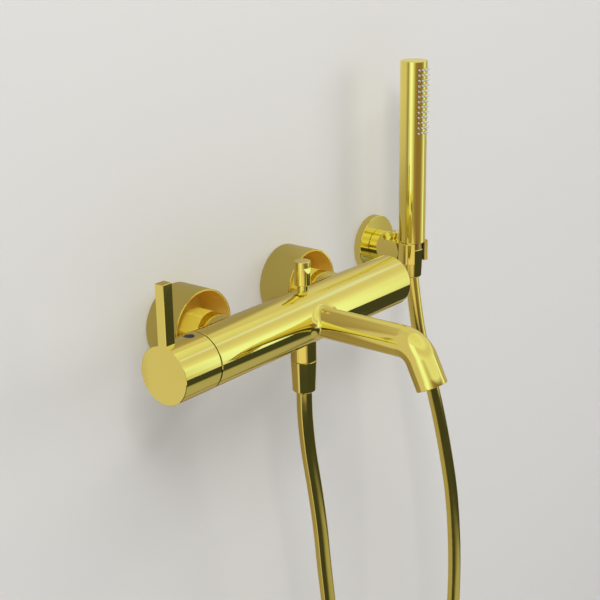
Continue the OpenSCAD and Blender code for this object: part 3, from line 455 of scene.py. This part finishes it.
GOLD_DARK, GOLD_LIGHT = (0.885, 0.790, 0.250), (0.910, 0.830, 0.280)
GOLD_ROUGH, GOLD_WAVE = (0.055, 0.095), 0.02
MATERIALS = {
    "gold_polished": metal("gold_polished", GOLD_DARK, GOLD_LIGHT, GOLD_ROUGH, wave=GOLD_WAVE),
    "gold_hose": metal(
        "gold_hose", (0.84, 0.74, 0.22), (0.89, 0.80, 0.26), (0.10, 0.16), wave=0.05),
    "gold_thread": metal(
        "gold_thread", (0.70, 0.55, 0.20), (0.80, 0.66, 0.27), (0.22, 0.34), grain=0.2),
    "brass_inner": metal(
        "brass_inner", (0.70, 0.54, 0.22), (0.80, 0.64, 0.28), (0.25, 0.40), grain=0.25),
    "steel": metal("steel", (0.52, 0.52, 0.52), (0.64, 0.64, 0.63), (0.25, 0.38), grain=0.2),
    "steel_dark": metal(
        "steel_dark", (0.10, 0.10, 0.10), (0.15, 0.15, 0.14), (0.35, 0.5), grain=0.2),
    "aerator_chrome": metal(
        "aerator_chrome", (0.50, 0.44, 0.26), (0.60, 0.53, 0.33), (0.18, 0.28), grain=0.1),
    "blue_index": plain(
        "blue_index", (0.010, 0.022, 0.045), (0.016, 0.032, 0.060), 0.30, specular=0.2),
    "silicone": plain(
        "silicone", (0.80, 0.78, 0.70), (0.88, 0.86, 0.78), 0.42, grain=0.2, subsurface=0.15),
    "seal_rubber": plain(
        "seal_rubber", (0.012, 0.012, 0.012), (0.025, 0.025, 0.025), 0.6, grain=0.3),
    "plastic_white": plain("plastic_white", (0.70, 0.70, 0.67), (0.80, 0.80, 0.77), 0.4),
    "plastic_grey": plain("plastic_grey", (0.16, 0.165, 0.17), (0.21, 0.215, 0.22), 0.45),
    "plastic_liner": plain("plastic_liner", (0.040, 0.037, 0.030), (0.060, 0.055, 0.045), 0.35),
    "ceramic": plain("ceramic", (0.82, 0.81, 0.77), (0.88, 0.87, 0.84), 0.15),
}
# Gold where the metal mainly mirrors itself: the cups, and the unions and nuts inside them. The
# warm light of these reflections is painted reflection: a warm base colour with low metallic that
# the lamps light.
CUP_GOLD_PAINTED_INSIDE = cup_metal_painted_inside("gold_cups_painted_inside", GOLD_DARK, GOLD_LIGHT, GOLD_ROUGH)
GOLD_PAINTED_REFLECTION = metal("gold_painted_reflection", (0.970, 0.830, 0.100), (1.000, 0.890, 0.130), GOLD_ROUGH,
                   wave=GOLD_WAVE, metallic=0.12)
COVERED = {
    "left_escutcheon": CUP_GOLD_PAINTED_INSIDE, "right_escutcheon": CUP_GOLD_PAINTED_INSIDE,
    "left_union": GOLD_PAINTED_REFLECTION, "right_union": GOLD_PAINTED_REFLECTION,
    "left_union_nut": GOLD_PAINTED_REFLECTION, "right_union_nut": GOLD_PAINTED_REFLECTION,
}
slot_of = {s["node"]: s["material_slot"] for s in frame["record"]["subparts"]}


def dress(obj, finish):
    """Gives the whole piece one material."""
    obj.data.materials.clear()
    obj.data.materials.append(finish)


for name, obj in nodes.items():
    dress(obj, COVERED.get(name, MATERIALS[slot_of[name]]))
dress(hose, MATERIALS["gold_hose"])
dress(spout, MATERIALS["gold_polished"])
# The painted shade at the nozzles takes the dark seal rubber.
dress(nozzle_shade, MATERIALS["seal_rubber"])

# ------------------------------------------------------------------ studio
WALL_Y = 0.0002
FLOOR_Z = -0.74
STAGE_REACH, WALL_TOP = 6, 5
WALL_COLOUR, FLOOR_COLOUR = (0.80, 0.785, 0.76, 1), (0.82, 0.82, 0.81, 1)
BACKDROP_COLOUR = (0.96, 0.96, 0.95, 1)
SOFT_LIGHT_COLOUR, SOFT_LIGHT = (0.95, 0.95, 0.94, 1), 0.45


def panel(name, corners):
    """One flat face of the stage."""
    mesh = bpy.data.meshes.new(name)
    mesh.from_pydata(corners, [], [(0, 1, 2, 3)])
    obj = bpy.data.objects.new(name, mesh)
    scene.collection.objects.link(obj)
    return obj


def stage_material(name):
    """A new material with its empty node tree and its output."""
    m = bpy.data.materials.new(name)
    m.use_nodes = True
    tree = m.node_tree
    tree.nodes.clear()
    return m, tree, add(tree, "ShaderNodeOutputMaterial")


def mix(tree, factor, a, b):
    """Shader a where the factor is 0, and b where it is 1."""
    node = add(tree, "ShaderNodeMixShader")
    tree.links.new(factor, node.inputs[0])
    tree.links.new(a, node.inputs[1])
    tree.links.new(b, node.inputs[2])
    return node.outputs[0]


def along(tree, axis, reach):
    """0 to 1 over a stretch of an axis."""
    coords = add(tree, "ShaderNodeTexCoord")
    parts = add(tree, "ShaderNodeSeparateXYZ")
    tree.links.new(coords.outputs["Object"], parts.inputs[0])
    return spread(tree, parts.outputs[axis], reach, (0, 1))


def tint_between(tree, factor, a, b):
    """Colour a where the factor is 0, and b where it is 1."""
    node = add(tree, "ShaderNodeMixRGB")
    tree.links.new(factor, node.inputs["Fac"])
    tree.links.new(a, node.inputs["Color1"])
    tree.links.new(b, node.inputs["Color2"])
    return node.outputs["Color"]


# Colours that the polished metal mirrors. Directions round the part run from
# the left (0.0) through the room in front (0.25) to the right (0.5) and the wall (0.75).
# ABOVE runs from level (0) to straight up (1), and takes over in the stretch ABOVE_FROM.
ROUND_THE_ROOM = [
    (0.00, (0.80, 0.86, 0.62)), (0.03, (1.00, 1.18, 1.00)), (0.055, (1.00, 1.16, 0.96)),
    (0.09, (0.78, 0.76, 0.46)), (0.14, (0.34, 0.24, 0.11)), (0.20, (0.27, 0.17, 0.08)),
    (0.30, (0.30, 0.20, 0.10)), (0.36, (0.66, 0.62, 0.38)), (0.372, (0.97, 1.15, 0.97)),
    (0.385, (0.97, 1.15, 0.97)), (0.396, (0.88, 0.94, 0.68)), (0.404, (0.80, 0.82, 0.56)),
    (0.408, (0.44, 0.38, 0.24)), (0.46, (0.52, 0.46, 0.30)), (0.60, (0.50, 0.43, 0.30)),
    (0.90, (0.60, 0.54, 0.38)), (1.00, (0.80, 0.86, 0.62))]
ABOVE = [
    (0.25, (0.92, 0.98, 0.76)), (0.35, (0.82, 0.81, 0.57)), (0.50, (0.72, 0.66, 0.46)),
    (0.64, (0.72, 0.66, 0.46)), (0.76, (0.86, 0.88, 0.58)), (1.00, (0.78, 0.76, 0.50))]
ABOVE_FROM = (0.18, 0.30)
# Bright patches: where each rises to full and falls off, in direction and then in height (for
# GLOW, in metres along the floor), and its colour.
STRIP = ((0.36, 0.375, 0.48, 0.50), (0.590, 0.600, 0.640, 0.650), (0.80, 0.86, 1.00))
WINDOW = ((0.965, 0.985, 0.995, 1.00), (0.05, 0.20, 0.62, 0.72), (1.00, 1.15, 0.98))
WINDOW_EDGE = ((0.00, 0.0005, 0.045, 0.07), (0.05, 0.20, 0.62, 0.72), (1.00, 1.15, 0.98))
GLOW = ((0.00, 0.0005, 0.15, 0.22), (1.50, 1.66, 2.60, 3.00), (0.86, 0.70, 0.44))
# The floor is lit in a spot before the wall and dark round it. Over the stretch FAR_FLOOR_FROM,
# in metres from the part, it takes the room's tones.
NEAR_FLOOR = [
    (0.00, (0.46, 0.42, 0.28)), (0.75, (0.42, 0.38, 0.24)), (1.00, (0.055, 0.055, 0.035))]
NEAR_SPOT_AT, NEAR_SPOT_R = (0.35, -0.45), (0.65, 0.55)
FAR_FLOOR_FROM = (2.60, 2.70)
# The wall changes with height, and from left to right over the two stretches of X. The dark band
# in WALL_UP, just below the body's height, is painted shade cast by the mixer.
WALL_HEIGHTS = (-0.45, 0.55)
WALL_LEFT_X, WALL_RIGHT_X = (-0.24, -0.19), (0.06, 0.14)
WALL_UP = [
    (0.00, (0.42, 0.35, 0.22)), (0.36, (0.30, 0.22, 0.12)), (0.405, (0.17, 0.10, 0.045)),
    (0.43, (0.34, 0.28, 0.19)), (0.50, (0.36, 0.31, 0.22)), (0.56, (0.37, 0.30, 0.20)),
    (0.64, (0.42, 0.33, 0.20)), (0.74, (0.52, 0.44, 0.30)),
    (0.84, (0.63, 0.55, 0.40)), (1.00, (0.64, 0.58, 0.42))]
WALL_LEFT = (0.68, 0.60, 0.44, 1)
WALL_RIGHT_UP = [
    (0.00, (0.42, 0.35, 0.22)), (0.40, (0.42, 0.35, 0.23)), (0.50, (0.45, 0.38, 0.26)),
    (0.545, (0.60, 0.54, 0.38)), (0.60, (0.70, 0.64, 0.44)), (1.00, (0.70, 0.64, 0.44))]


def turn(tree, vector):
    """0 to 1 round the vertical, from the left through the front."""
    node = add(tree, "ShaderNodeTexGradient", gradient_type="RADIAL")
    tree.links.new(vector, node.inputs["Vector"])
    return node.outputs["Fac"]


def plateau(tree, source, edges):
    """Rises from 0 to 1 between the first two edges, and falls back between the last two."""
    rise_from, rise_to, fall_from, fall_to = edges
    both = add(tree, "ShaderNodeMath", operation="MULTIPLY")
    tree.links.new(spread(tree, source, (rise_from, rise_to), (0, 1)), both.inputs[0])
    tree.links.new(spread(tree, source, (fall_to, fall_from), (0, 1)), both.inputs[1])
    return both.outputs[0]


def patch(tree, tone, heading, reach, spec):
    """Lays a patch over a tone, where the direction and the height or distance are in range."""
    headings, reaches, rgb = spec
    both = add(tree, "ShaderNodeMath", operation="MULTIPLY")
    tree.links.new(plateau(tree, heading, headings), both.inputs[0])
    tree.links.new(plateau(tree, reach, reaches), both.inputs[1])
    colour = add(tree, "ShaderNodeRGB")
    colour.outputs[0].default_value = (*rgb, 1)
    return tint_between(tree, both.outputs[0], tone, colour.outputs[0])


def make_wall():
    """Pale wall, seen from the front only. In the metal it glows a warm taupe, with a band of
    painted shade just under the mixer.
    """
    w = panel("stage_wall", [(-STAGE_REACH, WALL_Y, FLOOR_Z), (STAGE_REACH, WALL_Y, FLOOR_Z),
                             (STAGE_REACH, WALL_Y, WALL_TOP), (-STAGE_REACH, WALL_Y, WALL_TOP)])
    m, tree, out = stage_material("stage_wall")
    matte = add(tree, "ShaderNodeBsdfDiffuse", Color=WALL_COLOUR)
    shown = add(tree, "ShaderNodeEmission", Strength=1.0)
    height = along(tree, "Z", WALL_HEIGHTS)
    left = add(tree, "ShaderNodeRGB")
    left.outputs[0].default_value = WALL_LEFT
    tone = tint_between(
        tree, along(tree, "X", WALL_LEFT_X), left.outputs[0], ramp(tree, height, WALL_UP))
    tone = tint_between(
        tree, along(tree, "X", WALL_RIGHT_X), tone, ramp(tree, height, WALL_RIGHT_UP))
    tree.links.new(tone, shown.inputs["Color"])
    clear = add(tree, "ShaderNodeBsdfTransparent")
    path = add(tree, "ShaderNodeLightPath")
    face = add(tree, "ShaderNodeNewGeometry")
    surface = mix(tree, path.outputs["Is Glossy Ray"], matte.outputs[0], shown.outputs[0])
    surface = mix(tree, path.outputs["Is Shadow Ray"], surface, clear.outputs[0])
    surface = mix(tree, face.outputs["Backfacing"], surface, clear.outputs[0])
    tree.links.new(surface, out.inputs["Surface"])
    w.data.materials.append(m)
    w.visible_diffuse = False


def make_floor():
    """Pale floor. In the metal it is a lit spot in the dark, with the room's tones far off."""
    corners = ((-1, -1), (1, -1), (1, 1), (-1, 1))
    f = panel("stage_floor", [(x * STAGE_REACH, y * STAGE_REACH, FLOOR_Z) for x, y in corners])
    m, tree, out = stage_material("stage_floor")
    matte = add(tree, "ShaderNodeBsdfDiffuse", Color=FLOOR_COLOUR)
    shown = add(tree, "ShaderNodeEmission", Strength=1.0)
    coords = add(tree, "ShaderNodeTexCoord")
    flat = add(tree, "ShaderNodeVectorMath", operation="MULTIPLY")
    flat.inputs[1].default_value = (1, 1, 0)
    tree.links.new(coords.outputs["Object"], flat.inputs[0])
    away = add(tree, "ShaderNodeVectorMath", operation="LENGTH")
    tree.links.new(flat.outputs["Vector"], away.inputs[0])
    spot = add(tree, "ShaderNodeMapping")
    spot.inputs["Location"].default_value = (
        -NEAR_SPOT_AT[0] / NEAR_SPOT_R[0], -NEAR_SPOT_AT[1] / NEAR_SPOT_R[1], 0)
    spot.inputs["Scale"].default_value = (1 / NEAR_SPOT_R[0], 1 / NEAR_SPOT_R[1], 0)
    tree.links.new(coords.outputs["Object"], spot.inputs["Vector"])
    near = add(tree, "ShaderNodeVectorMath", operation="LENGTH")
    tree.links.new(spot.outputs["Vector"], near.inputs[0])
    heading = turn(tree, flat.outputs["Vector"])
    tone = patch(tree, ramp(tree, near.outputs["Value"], NEAR_FLOOR), heading,
                 away.outputs["Value"], GLOW)
    tone = tint_between(tree, spread(tree, away.outputs["Value"], FAR_FLOOR_FROM, (0, 1)), tone,
                        ramp(tree, heading, ROUND_THE_ROOM))
    tree.links.new(tone, shown.inputs["Color"])
    path = add(tree, "ShaderNodeLightPath")
    surface = mix(tree, path.outputs["Is Glossy Ray"], matte.outputs[0], shown.outputs[0])
    tree.links.new(surface, out.inputs["Surface"])
    f.data.materials.append(m)


def make_world():
    """Plain soft light, a pale backdrop for the camera, and the room's tones for the metal."""
    world = bpy.data.worlds.new("studio")
    scene.world = world
    world.use_nodes = True
    tree = world.node_tree
    tree.nodes.clear()
    out = add(tree, "ShaderNodeOutputWorld")
    coords = add(tree, "ShaderNodeTexCoord")
    parts = add(tree, "ShaderNodeSeparateXYZ")
    tree.links.new(coords.outputs["Generated"], parts.inputs[0])
    heading = turn(tree, coords.outputs["Generated"])
    tone = tint_between(tree, spread(tree, parts.outputs["Z"], ABOVE_FROM, (0, 1)),
                        ramp(tree, heading, ROUND_THE_ROOM),
                        ramp(tree, parts.outputs["Z"], ABOVE))
    for spec in (STRIP, WINDOW, WINDOW_EDGE):
        tone = patch(tree, tone, heading, parts.outputs["Z"], spec)
    glossy = add(tree, "ShaderNodeBackground", Strength=1.0)
    tree.links.new(tone, glossy.inputs["Color"])
    soft = add(tree, "ShaderNodeBackground", Color=SOFT_LIGHT_COLOUR, Strength=SOFT_LIGHT)
    white = add(tree, "ShaderNodeBackground", Color=BACKDROP_COLOUR, Strength=1.0)
    path = add(tree, "ShaderNodeLightPath")
    shader = mix(tree, path.outputs["Is Glossy Ray"], soft.outputs[0], glossy.outputs[0])
    shader = mix(tree, path.outputs["Is Camera Ray"], shader, white.outputs[0])
    tree.links.new(shader, out.inputs["Surface"])


def lamp(name, at, aim, size, power):
    """A white area lamp, in metres and watts. The metal doesn't mirror it."""
    data = bpy.data.lights.new(name, "AREA")
    data.shape = "RECTANGLE"
    data.size, data.size_y = size
    data.energy = power
    obj = bpy.data.objects.new(name, data)
    obj.location = at
    obj.rotation_mode = "QUATERNION"
    obj.rotation_quaternion = (Vector(aim) - Vector(at)).to_track_quat("-Z", "Y")
    scene.collection.objects.link(obj)
    obj.visible_glossy = False


make_wall()
make_floor()
make_world()
lamp("key", at=(-1.3, -1.6, 1.9), aim=(0.05, -0.05, 0.0), size=(0.8, 0.8), power=26)
lamp("stripe", at=(0.2, -0.9, 1.6), aim=(0.0, -0.08, 0.0), size=(1.6, 0.12), power=7)
lamp("fill", at=(1.9, -1.8, 0.5), aim=(0.1, -0.05, -0.1), size=(1.2, 1.2), power=10)

scene.view_settings.view_transform = "Standard"
